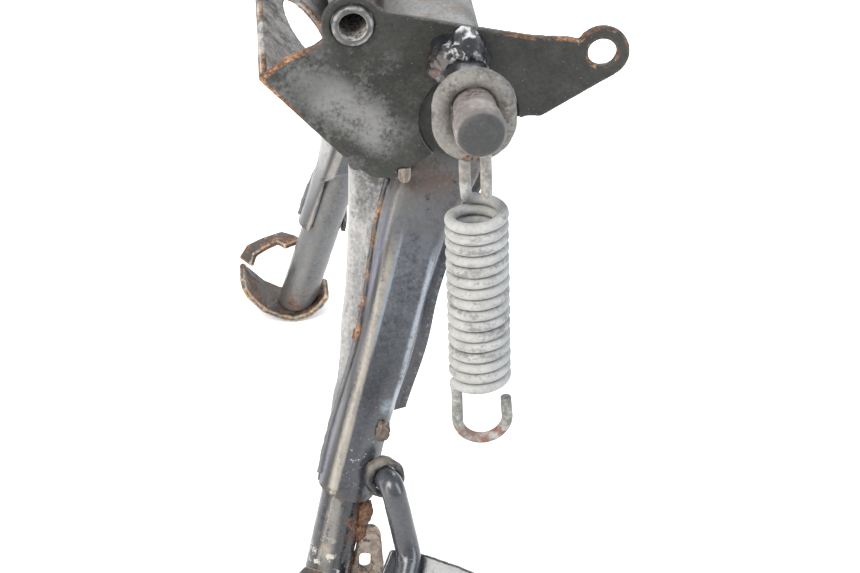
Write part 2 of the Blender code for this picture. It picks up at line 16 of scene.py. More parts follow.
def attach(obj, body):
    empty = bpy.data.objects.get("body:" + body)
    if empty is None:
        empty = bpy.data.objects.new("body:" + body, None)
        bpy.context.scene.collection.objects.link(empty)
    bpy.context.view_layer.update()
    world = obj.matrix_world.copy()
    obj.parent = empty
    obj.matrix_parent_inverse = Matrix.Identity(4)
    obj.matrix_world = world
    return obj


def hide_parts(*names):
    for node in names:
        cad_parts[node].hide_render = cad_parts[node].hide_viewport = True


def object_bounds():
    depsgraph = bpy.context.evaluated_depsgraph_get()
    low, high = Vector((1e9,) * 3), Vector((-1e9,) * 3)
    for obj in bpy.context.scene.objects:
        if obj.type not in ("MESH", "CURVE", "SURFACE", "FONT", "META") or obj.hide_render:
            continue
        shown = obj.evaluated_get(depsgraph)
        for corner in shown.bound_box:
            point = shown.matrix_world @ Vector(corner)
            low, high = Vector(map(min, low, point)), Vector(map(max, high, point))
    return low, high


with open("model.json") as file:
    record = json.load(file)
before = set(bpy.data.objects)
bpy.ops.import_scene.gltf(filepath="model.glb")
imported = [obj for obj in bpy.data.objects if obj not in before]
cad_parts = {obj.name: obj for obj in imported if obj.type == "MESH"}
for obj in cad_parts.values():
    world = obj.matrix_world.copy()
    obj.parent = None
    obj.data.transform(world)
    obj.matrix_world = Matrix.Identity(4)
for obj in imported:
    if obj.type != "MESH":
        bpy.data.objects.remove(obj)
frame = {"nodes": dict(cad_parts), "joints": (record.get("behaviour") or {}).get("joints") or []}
CAD_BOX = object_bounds()

MM = 0.001
GAP = 0.3
JOINTS = {joint["name"]: joint for joint in frame["joints"]}
PIVOT = Vector(JOINTS["stand_fold"]["pos_m"])
FROM_PIVOT = Matrix.Translation(PIVOT) @ Matrix.Scale(MM, 4)

# The part's driving sizes that the finer meshes repeat
PLATE_Y = 95
SHELL_Y = 88
PIVOT_TUBE_RO = 10.5
POST = (-1.8, 24.8)
NECK_R = 8.2
POST_L = 67
HEAD_R, HEAD_L = 9.7, 10
FRONT_EAR = (-44, 43)
SPACER_R, SPACER_OVER = (5.5, 8.1), 2
RING_Y = -136
RING_WIRE_R = 3.6
RING_HALF_W, RING_HALF_H = 12.4, 15.5
WIRE_R = 2.25
COIL_R = 10.25
COIL_PITCH = 4.8
COIL_TOP = -19
COIL_TURNS = 15.75
COIL_STEPS = 14
HOOK_R = RING_WIRE_R + WIRE_R + 1.1
SPRING_SHAKE = 0.12
HOOK_TURN = math.radians(-60)
BAR_Z = POST[1] + NECK_R + GAP + RING_WIRE_R - 2 * RING_HALF_H
SHEET = 2
SPLAY, SPLAY_Z, LEAN = 0.31, -28, 0.29
SLEEVE_R, SLEEVE_Z, SLEEVE_X = 12.3, -156, -57.5
SLEEVE_CUT = 0.3
LEG_TUBE_R = 9.5
LEG_TUBE_Z = (-104, -212)
LIP_W, LIP_END_Z = 5, -126
# Height, front of the inner shell, ridge of the outer shell, its rear corner
LEG_STATIONS = (
    (15, -15, -13, 5),
    (10, -23, -21, 8),
    (0, -27.5, -25.5, 9),
    (-14, -28.5, -26.5, 8.5),
    (-27.2, -29.5, -27.5, 6.5),
    (-28.6, -47.5, -31, 6),
    (-50, -49, -38, -9),
    (-80, -52.2, -44.5, -21),
    (-104, -57.6, -51, -27),
    (-126, -63.4, -57.3, -34.3),
    (-127.5, -63.7, -57.8, -34.9),
    (-140, -66.5, -62, -40),
    (-156, -69.7, -66, -45.3),
)
BLEND_Z = (-88, -142)
OPEN_Z = (-113, -121)
LEG_DEPTH = 24.8
LEVER_R = 5.1
LEVER_BOSS = (-42, -146.5)
SEAM_R = 1.5

# The camera: azimuth, elevation and roll in degrees, what it aims at, how far away, sensor and lens
VIEW_ANGLES = (-4, 30, 2)
VIEW_AIM = (-17.72, -95, -74.89)
VIEW_DISTANCE = 900
VIEW_LENS = (36, 91.67)
MIDDLE = (-20, -95, -80)

# Broad patterns take a fine grain: the smallest of them, its size, and its share in them
GRIT_FROM, GRIT_SIZE, GRIT_SHARE = 6.5, 1.5, 0.55
# A Mix node's first input and its output, for each kind of value
MIX_SOCKETS = {"FLOAT": (2, 0), "RGBA": (6, 2)}


def linked(name, data):
    """A new object in the scene."""
    made = bpy.data.objects.new(name, data)
    bpy.context.scene.collection.objects.link(made)
    return made


def modify(piece, kind, **settings):
    made = piece.modifiers.new(kind.lower(), kind)
    for name, value in settings.items():
        setattr(made, name, value)


# Camera, floor and light


def make_camera():
    """The photograph's view: from the left, a little from the front, and 30 degrees down."""
    azimuth, elevation, roll = (math.radians(angle) for angle in VIEW_ANGLES)
    level = math.cos(elevation)
    away = Vector((math.sin(azimuth) * level, -math.cos(azimuth) * level, math.sin(elevation)))
    side = Vector((math.cos(azimuth), math.sin(azimuth), 0))
    up = side.cross(-away)
    turned_side = side * math.cos(roll) - up * math.sin(roll)
    turned_up = side * math.sin(roll) + up * math.cos(roll)
    place = FROM_PIVOT @ (Vector(VIEW_AIM) + away * VIEW_DISTANCE)
    data = bpy.data.cameras.new("view")
    data.sensor_width, data.lens = VIEW_LENS
    camera = linked("view", data)
    axes = Matrix((turned_side, turned_up, away)).transposed().to_4x4()
    camera.matrix_world = Matrix.Translation(place) @ axes
    bpy.context.scene.camera = camera


def make_floor():
    work = bmesh.new()
    bmesh.ops.create_grid(work, x_segments=1, y_segments=1, size=6)
    floor = linked("floor", as_mesh(work, "floor"))
    floor.location.z = CAD_BOX[0][2] - 0.5 * MM
    material = bpy.data.materials.new("pale_floor")
    material.use_nodes = True
    shader = material.node_tree.nodes["Principled BSDF"]
    shader.inputs["Base Color"].default_value = (0.9, 0.9, 0.9, 1)
    shader.inputs["Roughness"].default_value = 0.8
    shader.inputs["Emission Color"].default_value = (1, 0.99, 0.985, 1)
    shader.inputs["Emission Strength"].default_value = 0.22
    floor.data.materials.append(material)


def make_light(name, place, size, power, colour=(1, 1, 1)):
    """A rectangular softbox at a place in millimetres from the pivot, turned to the middle of the part."""
    data = bpy.data.lights.new(name, "AREA")
    data.shape = "RECTANGLE"
    data.size, data.size_y = size
    data.energy = power
    data.color = colour
    light = linked(name, data)
    light.location = FROM_PIVOT @ Vector(place)
    light.rotation_mode = "QUATERNION"
    light.rotation_quaternion = (Vector(place) - Vector(MIDDLE)).to_track_quat("Z", "Y")


def make_studio():
    world = bpy.data.worlds.new("studio")
    world.use_nodes = True
    background = world.node_tree.nodes["Background"]
    background.inputs["Color"].default_value = (0.93, 0.96, 1, 1)
    background.inputs["Strength"].default_value = 0.75
    bpy.context.scene.world = world
    bpy.context.scene.view_settings.view_transform = "Standard"
    make_light("key", (-700, -900, 1100), (0.7, 0.9), 26, (1, 0.98, 0.95))
    make_light("fill", (1000, -700, 500), (0.5, 1.2), 12, (0.86, 0.92, 1))
    make_light("back", (100, 1100, 700), (1.2, 0.6), 12)
    make_light("card", (-800, -560, 150), (0.22, 1), 5, (1, 0.9, 0.78))
    make_light("edge", (-1000, 120, 60), (0.12, 1), 1.6, (0.8, 0.84, 1))


# Finishes


class Look:
    """A Principled material built up in layers, its patterns sized in millimetres of the part's frame."""

    def __init__(self, name, colour, roughness, metallic=0, coat=0, gloss=0.5):
        self.material = bpy.data.materials.new(name)
        self.material.use_nodes = True
        self.tree = self.material.node_tree
        self.shader = self.tree.nodes["Principled BSDF"]
        self.shader.inputs["Specular IOR Level"].default_value = gloss
        self.shader.inputs["Coat Weight"].default_value = coat
        self.shader.inputs["Coat Roughness"].default_value = 0.15
        self.colour, self.roughness, self.metallic = colour, roughness, metallic
        self.relief = []
        self.place = self.node("ShaderNodeTexCoord").outputs["Object"]

    def feed(self, socket, value):
        if isinstance(value, bpy.types.NodeSocket):
            self.tree.links.new(value, socket)
        elif socket.type == "RGBA":
            socket.default_value = (*value, 1)
        else:
            socket.default_value = value

    def node(self, kind, inputs=None, **settings):
        made = self.tree.nodes.new(kind)
        for name, value in settings.items():
            setattr(made, name, value)
        for key, value in (inputs or {}).items():
            self.feed(made.inputs[key], value)
        return made

    def ramp(self, value, low, high):
        """0 to 1 as a value goes from low to high."""
        inputs = {"Value": value, "From Min": low, "From Max": high}
        made = self.node("ShaderNodeMapRange", inputs, interpolation_type="SMOOTHSTEP")
        return made.outputs["Result"]

    def span(self, value, low, high):
        """The same for a value in metres and limits in millimetres."""
        return self.ramp(value, low * MM, high * MM)

    def band(self, value, start, full, fading, end):
        """0 to 1 from start to full, and back to 0 from fading to end."""
        return self.both(self.span(value, start, full), self.span(value, end, fading))

    def texture(self, size, stretch, shift, detail, roughness):
        scale = tuple(factor / (size * MM) for factor in stretch)
        inputs = {"Vector": self.place, "Location": shift, "Scale": scale}
        moved = self.node("ShaderNodeMapping", inputs).outputs["Vector"]
        inputs = {"Vector": moved, "Scale": 1, "Detail": detail, "Roughness": roughness}
        return self.node("ShaderNodeTexNoise", inputs).outputs["Fac"]

    def noise(self, size, low, high, seed=0, detail=5, stretch=(1, 1, 1)):
        """A mask of patches about this many millimetres across, a broad one with ragged, grainy edges.

        The seed, any number, picks one pattern.
        """
        value = self.texture(size, stretch, (seed, seed * 0.7, -seed), detail, 0.66)
        if size > GRIT_FROM:
            grain = self.texture(GRIT_SIZE, (1, 1, 1), (-seed, seed, seed * 0.4), 4, 0.6)
            value = self.maths("MULTIPLY_ADD", grain, GRIT_SHARE, value)
            value = self.maths("SUBTRACT", value, 0.5 * GRIT_SHARE)
        return self.ramp(value, low, high)

    def maths(self, operation, *values):
        return self.node("ShaderNodeMath", dict(enumerate(values)), operation=operation).outputs[0]

    def both(self, *masks):
        return reduce(lambda found, mask: self.maths("MULTIPLY", found, mask), masks)

    def either(self, *masks):
        return reduce(lambda found, mask: self.maths("MAXIMUM", found, mask), masks)

    def along(self, axis, low, high):
        """0 to 1 from one place to another along an axis."""
        start = PIVOT["XYZ".index(axis)]
        value = self.node("ShaderNodeSeparateXYZ", {"Vector": self.place}).outputs[axis]
        return self.ramp(value, start + low * MM, start + high * MM)

    def near(self, centre, reach, core=0):
        """1 at a place, fading to 0 at a distance from it."""
        inputs = {0: self.place, 1: tuple(FROM_PIVOT @ Vector(centre))}
        far = self.node("ShaderNodeVectorMath", inputs, operation="DISTANCE").outputs["Value"]
        return self.ramp(far, reach * MM, core * MM)

    def slanted(self, weights):
        """The place from the pivot measured along a slanting direction, in metres."""
        inputs = {0: self.place, 1: tuple(PIVOT)}
        moved = self.node("ShaderNodeVectorMath", inputs, operation="SUBTRACT").outputs[0]
        inputs = {0: moved, 1: weights}
        return self.node("ShaderNodeVectorMath", inputs, operation="DOT_PRODUCT").outputs["Value"]

    def round_axis(self, centre):
        """The distance in metres from an axis along Y, given by its X and Z from the pivot."""
        inputs = {0: self.place, 1: (1, 0, 1)}
        flat = self.node("ShaderNodeVectorMath", inputs, operation="MULTIPLY").outputs[0]
        axis = (PIVOT.x + centre[0] * MM, 0, PIVOT.z + centre[1] * MM)
        made = self.node("ShaderNodeVectorMath", {0: flat, 1: axis}, operation="DISTANCE")
        return made.outputs["Value"]

    def edges(self, low, high):
        """1 on edges that stand out."""
        value = self.node("ShaderNodeNewGeometry").outputs["Pointiness"]
        return self.ramp(value, low, high)

    def mix(self, mask, first, second, kind="FLOAT"):
        start, result = MIX_SOCKETS[kind]
        inputs = {0: mask, start: first, start + 1: second}
        return self.node("ShaderNodeMix", inputs, data_type=kind).outputs[result]

    def layer(self, mask, colour, roughness, metallic=None, height=0):
        """Lays a colour, a roughness and a thickness in millimetres over what is there.

        Several masks in a tuple count where they meet.
        """
        mask = self.both(*mask) if isinstance(mask, tuple) else mask
        self.colour = self.mix(mask, self.colour, colour, "RGBA")
        self.roughness = self.mix(mask, self.roughness, roughness)
        if metallic is not None and metallic != self.metallic:
            self.metallic = self.mix(mask, self.metallic, metallic)
        if height:
            self.relief.append((mask, height))

    def rust(self, mask, pale):
        """Rust in dark brown, orange and tan, with a grainy surface."""
        mask = self.both(*mask) if isinstance(mask, tuple) else mask
        grain = self.noise(1.3, 0.35, 0.65, 3)
        patches = self.noise(5, 0.62 - 0.2 * pale, 0.72 - 0.1 * pale, 12)
        brown = self.mix(grain, (0.045, 0.025, 0.017), (0.17, 0.082, 0.045), "RGBA")
        colour = self.mix(self.both(patches, grain), brown, (0.36, 0.205, 0.11), "RGBA")
        self.layer(mask, colour, 0.88, 0, 0.06)
        self.relief.append((self.both(mask, grain), 0.08))

    def grain(self, size, height, seed=1, detail=4):
        """Relief alone."""
        self.relief.append((self.noise(size, 0.25, 0.75, seed, detail=detail), height))

    def done(self, *grains):
        """The finished material, each grain a size, a height and if need be a seed and a detail."""
        for grain in grains:
            self.grain(*grain)
        total = 0
        for mask, height in self.relief:
            total = self.maths("MULTIPLY_ADD", mask, height, total)
        bump = self.node("ShaderNodeBump", {"Height": total, "Distance": MM}).outputs["Normal"]
        fed = {"Normal": bump, "Base Color": self.colour}
        fed |= {"Roughness": self.roughness, "Metallic": self.metallic}
        for name, value in fed.items():
            self.feed(self.shader.inputs[name], value)
        return self.material


def bracket_paint():
    """Black paint gone dull, with dust, a large scuffed patch, faint scratches and rust along its edges."""
    look = Look("bracket_paint", (0.011, 0.0115, 0.0095), 0.5, gloss=0.3)
    look.layer(look.noise(45, 0.35, 0.75, detail=9), (0.028, 0.0285, 0.0255), 0.55)
    look.layer(look.noise(14, 0.4, 0.8, 4, detail=12), (0.033, 0.033, 0.029), 0.6)
    downhill, across = look.slanted((0.76, 0, -0.65)), look.slanted((0.65, 0, 0.76))
    ends = look.band(downhill, -64, -48, -24, -10)
    sides = look.band(across, -38, -30, -22, -12)
    scuffed = look.both(ends, sides, look.along("Y", -94, -94.6))
    look.layer((scuffed, look.noise(22, 0.32, 0.6, 2, detail=15)), (0.15, 0.15, 0.148), 0.66)
    around = look.near((-52, -96, 8), 44, 12)
    look.layer((around, look.noise(9, 0.45, 0.75, 9, detail=15)), (0.1, 0.1, 0.098), 0.7)
    fold = look.near((-70, -96, 26), 24, 4)
    look.layer((fold, look.noise(12, 0.3, 0.7, 16, detail=10)), (0.1, 0.1, 0.1), 0.6)
    scratches = look.noise(1.5, 0.7, 0.76, 5, detail=1, stretch=(0.05, 1, 1))
    look.layer((scratches, look.noise(30, 0.55, 0.62, 8)), (0.07, 0.07, 0.07), 0.5)
    look.layer(look.noise(0.9, 0.74, 0.78, 7, detail=1), (0.12, 0.115, 0.1), 0.8)
    look.layer((look.edges(0.52, 0.58), look.noise(5, 0.42, 0.6, 6)), (0.15, 0.145, 0.135), 0.5)
    inner = look.both(look.along("Y", -91.5, -88), look.along("Y", 91.5, 88))
    inner = look.both(inner, look.span(look.slanted((1, 0, 0)), -50, -62))
    dusty = look.noise(9, 0.22, 0.66, 15, detail=14)
    look.layer((inner, dusty), (0.36, 0.345, 0.33), 0.8, height=0.05)
    corner = look.both(look.near((-82, -95, 25), 30, 16), look.edges(0.501, 0.508))
    hole = look.both(look.near((-72, 0, 12), 46, 38), look.edges(0.502, 0.52))
    rear = look.both(look.near((38, -95, 34), 32, 16), look.edges(0.503, 0.515))
    patchy = look.noise(6, 0.3, 0.5, 12)
    look.rust((corner, look.noise(4, 0.2, 0.42, 18)), 1)
    look.rust((look.either(hole, look.both(rear, look.noise(5, 0.42, 0.55, 17))), patchy), 0.8)
    look.rust((look.edges(0.51, 0.55), look.noise(12, 0.6, 0.66, 11)), 0.5)
    look.rust((look.noise(3, 0.72, 0.76, 13), look.noise(30, 0.52, 0.6, 14)), 0.6)
    return look.done((1.6, 0.02))


def channel_paint():
    """The channel across the stand: black paint under a coat of pale dust."""
    look = Look("channel_paint", (0.06, 0.06, 0.059), 0.6, gloss=0.35)
    look.layer(look.noise(30, 0.2, 0.7, detail=14), (0.24, 0.235, 0.23), 0.75)
    look.layer(look.noise(11, 0.5, 0.72, 4, detail=14), (0.16, 0.13, 0.1), 0.85)
    look.rust((look.edges(0.508, 0.54), look.noise(8, 0.52, 0.6, 6)), 0.6)
    return look.done((1.6, 0.03))


def leg_paint():
    """Glossy blue-black paint, dusty near the pivot and on its front, chipped along its rear lip, with
    painted highlights, reflection bands and a painted sheen on its outer face.
    """
    look = Look("leg_paint", (0.011, 0.013, 0.018), 0.19, coat=0.3)
    look.layer(look.noise(34, 0.3, 0.75, detail=12, stretch=(1, 1, 0.4)), (0.045, 0.048, 0.055), 0.26)
    # Painted sheen: a lighter blue-grey band across the middle of the leg
    sheen = look.both(look.along("Z", -112, -76), look.noise(26, 0.2, 0.6, 17, detail=12))
    look.layer(sheen, (0.075, 0.081, 0.092), 0.28)
    top = look.along("Z", -66, -26)
    look.layer((top, look.noise(14, 0.25, 0.7, detail=12)), (0.06, 0.055, 0.05), 0.55)
    brown = look.noise(11, 0.4, 0.65, 5, detail=12)
    look.layer((look.along("Z", -44, -28), brown), (0.05, 0.033, 0.024), 0.7)
    ridge = look.slanted((1, 0, -0.28))
    bright = look.slanted((1, 0, -0.326))
    left_side = look.along("Y", -50, -70)
    # Painted highlight: a cream streak down the rounded ridge, broken up by noise
    streak = look.both(look.band(bright, -17.2, -14.6, -12.8, -11.4), look.along("Z", -44, -66))
    highlight_breakup = look.noise(16, 0.2, 0.62, 7, detail=12, stretch=(2, 1, 0.4))
    look.layer((streak, highlight_breakup), (0.2, 0.185, 0.16), 0.34)
    # Painted reflection: a dark band between the violet line and the cream streak
    between = look.band(bright, -18.4, -17.6, -16.8, -15.8)
    look.layer((between, look.along("Z", -40, -60)), (0.024, 0.022, 0.021), 0.35)
    # Painted reflection: a thin violet line left of the cream streak
    violet = look.both(look.band(bright, -19.9, -19.2, -18.6, -17.9), look.along("Z", -40, -56), left_side)
    look.layer((violet, look.noise(30, 0.2, 0.55, 19, detail=9)), (0.085, 0.083, 0.125), 0.25)
    # Painted highlight: a pale blue glint line right of the cream streak
    glint = look.band(bright, -12.9, -12.1, -11.7, -10.9)
    shown = look.both(look.along("Z", -46, -56), look.along("Z", -104, -84), left_side)
    look.layer((glint, shown, look.noise(14, 0.2, 0.6, 12, detail=12)), (0.15, 0.18, 0.215), 0.3)
    front = look.span(ridge, -22, -24.5)
    look.layer((front, look.along("Z", -150, -110)), (0.14, 0.142, 0.145), 0.5)
    pale = look.noise(22, 0.36, 0.68, 2, detail=14, stretch=(2.4, 1, 0.5))
    look.layer((front, pale, look.along("Z", -128, -96)), (0.3, 0.295, 0.285), 0.7)
    dark = look.noise(20, 0.5, 0.7, 14, detail=12)
    look.layer((front, dark, look.along("Z", -60, -40)), (0.08, 0.078, 0.074), 0.7)
    look.layer(look.noise(0.7, 0.73, 0.77, 3, detail=1), (0.16, 0.155, 0.15), 0.7)
    worn = look.both(look.edges(0.52, 0.56), look.noise(3, 0.5, 0.62, 6), look.along("Z", -150, -140))
    look.layer(worn, (0.12, 0.13, 0.145), 0.3)
    blotches = look.noise(12, 0.66, 0.72, 20, detail=9)
    look.layer(blotches, (0.02, 0.021, 0.025), 0.3)
    low_edge = look.both(look.edges(0.508, 0.53), look.along("Z", -66, -78), look.along("Z", -128, -118))
    look.rust((low_edge, look.noise(9, 0.55, 0.61, 8)), 0.8)
    end = look.both(look.edges(0.506, 0.52), look.along("Z", -148, -152), look.noise(4, 0.4, 0.52, 13))
    look.layer(end, (0.045, 0.034, 0.027), 0.8)
    # Painted highlight: a pale blue glint along the rear bend of the outer shell
    bend = look.band(bright, 1.3, 2.8, 3.6, 4.8)
    bend = look.both(bend, look.along("Z", -54, -64), look.along("Z", -126, -120))
    look.layer((bend, left_side, look.noise(12, 0.25, 0.6, 21, detail=12)), (0.26, 0.29, 0.33), 0.25)
    # Painted highlight: a pale blue glint at the lower end of the rear lip
    lip_glint = look.both(look.near((-37, -118, -119), 6, 2), look.noise(5, 0.4, 0.55, 23))
    look.layer(lip_glint, (0.22, 0.28, 0.32), 0.25)
    sand = look.both(look.near((-47, -127, -141), 15, 5), look.noise(1.6, 0.6, 0.66, 22))
    look.layer(sand, (0.36, 0.36, 0.34), 0.8)
    return look.done((3, 0.02), (16, 0.08, 4, 2))


def seam_paint():
    """The seam between a leg's two shells, painted over, rusted through for part of its length."""
    look = Look("seam_paint", (0.022, 0.024, 0.029), 0.28, coat=0.3)
    look.layer(look.noise(8, 0.4, 0.7, detail=9), (0.055, 0.055, 0.058), 0.4)
    # Painted light: lighter from Z -84 down, over the shade in the gap beside the seam
    look.layer(look.along("Z", -84, -100), (0.075, 0.077, 0.08), 0.4)
    bare = look.both(look.along("Z", -36, -46), look.along("Z", -104, -92))
    look.rust((bare, look.noise(6, 0.42, 0.52, 3)), 1)
    return look.done((1.2, 0.08))


def tube_paint():
    """Black paint, chipped and rusted near the ground on the lever's side, with a painted highlight streak
    along it.
    """
    look = Look("tube_paint", (0.012, 0.013, 0.017), 0.22, coat=0.25)
    look.layer(look.noise(18, 0.4, 0.7, detail=9, stretch=(1, 1, 0.4)), (0.03, 0.031, 0.033), 0.32)
    # Painted highlight: a soft cream streak along the tube, broken up by noise
    bright = look.slanted((1, 0, -LEAN))
    streak = look.band(bright, -20.5, -16.2, -15.4, -11.4)
    highlight_breakup = look.noise(14, 0.2, 0.6, 9, detail=12, stretch=(2, 1, 0.4))
    look.layer((streak, highlight_breakup), (0.15, 0.145, 0.135), 0.3)
    far_side = look.along("Y", 0, 20)
    look.layer((far_side, look.noise(24, 0.1, 0.7, detail=12)), (0.08, 0.08, 0.08), 0.45)
    near_foot = look.near((-76, -137, -188), 24, 10)
    chips = look.both(near_foot, look.noise(4, 0.54, 0.6, 3, detail=12))
    look.layer(chips, (0.42, 0.4, 0.36), 0.75, height=0.04)
    tan = look.both(look.near((-70.6, -137, -175), 8, 5), look.noise(6, 0.34, 0.46, 5, detail=12))
    look.layer(tan, (0.42, 0.32, 0.21), 0.8, height=0.05)
    rear = look.both(look.near((-50, -126, -170), 13, 5), look.noise(5, 0.4, 0.55, 6))
    foot = look.both(look.along("Z", -190, -206), look.noise(6, 0.48, 0.56, 8))
    look.rust(look.either(rear, foot), 0.4)
    look.layer(look.noise(0.8, 0.71, 0.75, 7, detail=1), (0.18, 0.16, 0.13), 0.8)
    return look.done((2, 0.03))


def weld_paint():
    """Thick glossy paint over a weld."""
    look = Look("weld_paint", (0.008, 0.009, 0.012), 0.2, coat=0.45)
    look.layer(look.noise(6, 0.5, 0.65, 3), (0.03, 0.027, 0.025), 0.3)
    look.rust((look.near((-17, -103, 25), 8, 2), look.noise(4, 0.48, 0.58, 5)), 0.5)
    return look.done((1.5, 0.04))


def brown_weld():
    """Bare weld metal, rusted and caked with dirt."""
    look = Look("brown_weld", (0.1, 0.082, 0.068), 0.85, gloss=0.3)
    look.rust(look.noise(3.5, 0.5, 0.7, 2, detail=9), 0.2)
    look.layer(look.noise(3, 0.5, 0.66, 5, detail=9), (0.2, 0.175, 0.15), 0.9, height=0.1)
    look.rust((look.along("Z", -140, -150), look.noise(4, 0.32, 0.5, 8, detail=9)), 0.2)
    return look.done((0.9, 0.1))


def worn_steel(name, colour, metallic, rust_from):
    """Old bare steel: grey-brown, pitted, with light rubbed places and rust."""
    look = Look(name, colour, 0.5, metallic)
    look.layer(look.noise(6, 0.4, 0.62, detail=8), tuple(value * 0.45 for value in colour), 0.65, 0.25)
    look.layer(look.noise(1.5, 0.56, 0.68, 3), (0.42, 0.39, 0.36), 0.6, 0.4, height=0.05)
    look.rust(look.noise(5, rust_from, rust_from + 0.1, 6), 0.8)
    return look.done((0.8, 0.08), (3.5, 0.15, 3))


def spacer_black():
    """The front spacer: black paint with a painted highlight ring on its rim, its bore bare steel, dirty and
    painted lighter for the light reflected inside it.
    """
    look = Look("spacer_black", (0.03, 0.031, 0.033), 0.3)
    look.layer(look.noise(6, 0.4, 0.65, detail=8), (0.065, 0.064, 0.062), 0.5)
    far = look.round_axis(FRONT_EAR)
    ends = look.either(look.along("Y", -94.5, -96), look.along("Y", 94.5, 96))
    # Painted highlight: a lighter ring on the rim of each end
    rim = look.both(ends, look.span(far, 6.6, 7.2), look.noise(4, 0.4, 0.6, 3))
    look.layer(rim, (0.2, 0.2, 0.2), 0.35)
    middle = look.both(look.along("Y", -90, -86), look.along("Y", 90, 86))
    look.layer((middle, look.noise(18, 0.45, 0.75, 8, detail=12)), (0.1, 0.095, 0.088), 0.7)
    # The bore: bare steel, painted lighter for light reflected inside it, with dirt over it
    bore = look.span(far, 5.9, 5.6)
    look.layer(bore, (0.3, 0.29, 0.28), 0.5)
    look.layer((bore, look.noise(2.5, 0.45, 0.58, 5, detail=8)), (0.08, 0.065, 0.05), 0.8)
    return look.done((1.5, 0.05))


def post_steel():
    """The post: paint on its root, a rubbed grey neck, and a dark end with dirt on it."""
    look = Look("post_steel", (0.17, 0.15, 0.14), 0.55, 0.2)
    look.layer(look.noise(8, 0.35, 0.65, detail=12), (0.25, 0.225, 0.21), 0.5, 0.3)
    look.layer(look.noise(9, 0.52, 0.66, 4, detail=9), (0.085, 0.065, 0.055), 0.8, 0)
    look.layer(look.along("Y", -131, -126), (0.014, 0.014, 0.016), 0.3, 0)
    head = look.along("Y", -149, -153)
    look.layer((head, look.noise(9, 0.3, 0.65, 2, detail=12)), (0.1, 0.09, 0.086), 0.65, 0)
    look.rust((head, look.noise(3, 0.68, 0.73, 7)), 0.7)
    face = look.along("Y", -159.5, -161)
    look.layer(face, (0.02, 0.021, 0.02), 0.6, 0)
    look.layer((face, look.noise(12, 0.46, 0.84, 9, detail=14)), (0.055, 0.056, 0.053), 0.65)
    return look.done((1.2, 0.05), (4, 0.1, 2))


def spring_zinc():
    """Dull zinc on spring wire, with grey dirt brushed along the turns and rust at the hooks' ends."""
    look = Look("spring_zinc", (0.33, 0.33, 0.318), 0.75, 0, gloss=0.25)
    look.layer(look.noise(7, 0.3, 0.7, detail=12), (0.26, 0.26, 0.252), 0.75)
    coil = look.along("Z", -14, -20)
    streaks = look.noise(9, 0.5, 0.66, 3, detail=12, stretch=(0.45, 0.45, 1.6))
    look.layer((coil, streaks), (0.17, 0.17, 0.17), 0.75)
    upper = look.both(look.along("Z", -20, -12), look.noise(7, 0.35, 0.7, 6, detail=14))
    look.layer(upper, (0.15, 0.135, 0.115), 0.8)
    lower = look.both(look.along("Z", -96, -104), look.noise(7, 0.35, 0.62, 9, detail=12))
    look.layer(lower, (0.13, 0.13, 0.11), 0.8)
    tip = look.both(look.along("Z", -114, -119), look.noise(6, 0.4, 0.6, 7, detail=9))
    look.layer(tip, (0.16, 0.08, 0.06), 0.75)
    look.rust(look.noise(3, 0.72, 0.76, 8), 0.4)
    return look.done((0.9, 0.04))


def ring_steel():
    """The link ring: grey-brown, pitted, with light specks and orange rust low down."""
    look = Look("ring_steel", (0.105, 0.1, 0.09), 0.62, 0, gloss=0.35)
    look.layer(look.noise(12, 0.35, 0.68, detail=13), (0.17, 0.162, 0.148), 0.65)
    look.layer(look.noise(1.4, 0.66, 0.74, 3, detail=3), (0.4, 0.37, 0.33), 0.7, height=0.04)
    look.layer(look.noise(12, 0.52, 0.7, 4, detail=12), (0.07, 0.067, 0.06), 0.7)
    low = look.either(look.along("Z", 12, 5), look.near((8, RING_Y, 14), 12, 3))
    patches = look.noise(8, 0.46, 0.62, 5, detail=9)
    look.rust(look.either(look.both(low, patches), look.noise(3, 0.7, 0.76, 6)), 0.5)
    return look.done((1, 0.08))


def rusty_steel():
    """Foot plates and straps: brown rust, tan on the edges, with black paint left in places."""
    look = Look("rusty_steel", (0.06, 0.04, 0.03), 0.85)
    look.rust(look.noise(5, 0.35, 0.6, 1), 0.5)
    look.layer(look.noise(9, 0.46, 0.56, 4, detail=7), (0.03, 0.028, 0.027), 0.5)
    pale = look.either(look.edges(0.508, 0.54), look.noise(3, 0.64, 0.7, 5))
    look.layer((pale, look.noise(3, 0.3, 0.5, 6)), (0.4, 0.31, 0.21), 0.8, height=0.04)
    return look.done((1.2, 0.08))


def lug_steel():
    """The spring's lug: pale grey-brown, rust along its edge."""
    look = Look("lug_steel", (0.15, 0.12, 0.095), 0.75)
    look.layer(look.noise(3, 0.38, 0.6, detail=8), (0.26, 0.225, 0.185), 0.8)
    look.layer(look.noise(4, 0.55, 0.64, 3), (0.05, 0.04, 0.033), 0.7)
    look.rust((look.edges(0.505, 0.54), look.noise(3, 0.4, 0.5, 4)), 0.9)
    return look.done((0.9, 0.1))


def stub_steel():
    """The stop stubs: light grey-brown, rubbed."""
    look = Look("stub_steel", (0.19, 0.165, 0.14), 0.7, 0)
    look.layer(look.noise(3, 0.42, 0.6, stretch=(2, 1, 0.5)), (0.1, 0.08, 0.062), 0.75)
    look.rust(look.noise(2.5, 0.62, 0.7, 4), 0.7)
    return look.done((0.9, 0.1))


def satin_black():
    """Black paint on the lever, worn satin, with dirt caught on it."""
    look = Look("satin_black", (0.02, 0.022, 0.027), 0.22, coat=0.25)
    look.layer(look.noise(22, 0.35, 0.75, detail=12), (0.045, 0.047, 0.053), 0.34)
    look.layer(look.noise(0.9, 0.73, 0.78, 3, detail=1), (0.15, 0.14, 0.12), 0.8)
    worn = look.both(look.edges(0.52, 0.56), look.noise(4, 0.48, 0.62, 4))
    look.layer(worn, (0.12, 0.115, 0.11), 0.5)
    look.rust(look.noise(4, 0.73, 0.77, 6), 0.4)
    return look.done((1.5, 0.02))


